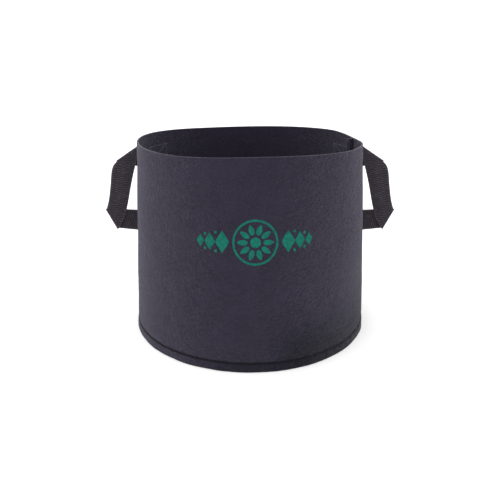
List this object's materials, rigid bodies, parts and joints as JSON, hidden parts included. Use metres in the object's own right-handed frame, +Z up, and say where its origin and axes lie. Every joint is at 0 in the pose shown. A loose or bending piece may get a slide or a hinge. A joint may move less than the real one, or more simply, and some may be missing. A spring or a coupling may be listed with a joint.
{
  "type": "fabric grow bag",
  "caption": "Round felt grow bag with an open top, a stitched-in felt base, an inside side seam and two folded webbing loop handles that swing.",
  "frame": {"origin": "centre of the bag's footprint, on the surface it stands on", "axes": "+Z up out of the open top; -Y towards the viewer, the front of the bag; +X towards the right-hand handle"},
  "size_m": [0.391, 0.3, 0.241],
  "materials": {
    "wall_felt": "needle-punched felt",
    "base_felt": "needle-punched felt",
    "webbing": "woven webbing",
    "thread": "twisted polyester thread"
  },
  "bodies": {
    "root": {"wall_panel": "wall_felt", "base_panel": "base_felt", "left_handle_upper_end": "webbing", "left_handle_lower_end": "webbing", "right_handle_upper_end": "webbing", "right_handle_lower_end": "webbing", "base_seam_needle_thread": "thread", "base_seam_bobbin_thread": "thread", "side_seam_needle_thread": "thread", "side_seam_bobbin_thread": "thread", "left_handle_upper_end_needle_thread": "thread", "left_handle_upper_end_bobbin_thread": "thread", "left_handle_lower_end_needle_thread": "thread", "left_handle_lower_end_bobbin_thread": "thread", "right_handle_upper_end_needle_thread": "thread", "right_handle_upper_end_bobbin_thread": "thread", "right_handle_lower_end_needle_thread": "thread", "right_handle_lower_end_bobbin_thread": "thread"},
    "left_handle": {"left_handle_loop": "webbing"},
    "right_handle": {"right_handle_loop": "webbing"}
  },
  "joints": [
    {"name": "left_handle_swing", "type": "hinge", "parent": "root", "child": "left_handle", "pos_m": [-0.14416, 0.03541, 0.1215], "axis": [-0.0288, 0.0071, -0.9996], "range_deg": [-45, 95]},
    {"name": "right_handle_swing", "type": "hinge", "parent": "root", "child": "right_handle", "pos_m": [0.14416, 0.03541, 0.1215], "axis": [-0.0288, -0.0071, 0.9996], "range_deg": [-45, 95]}
  ]
}
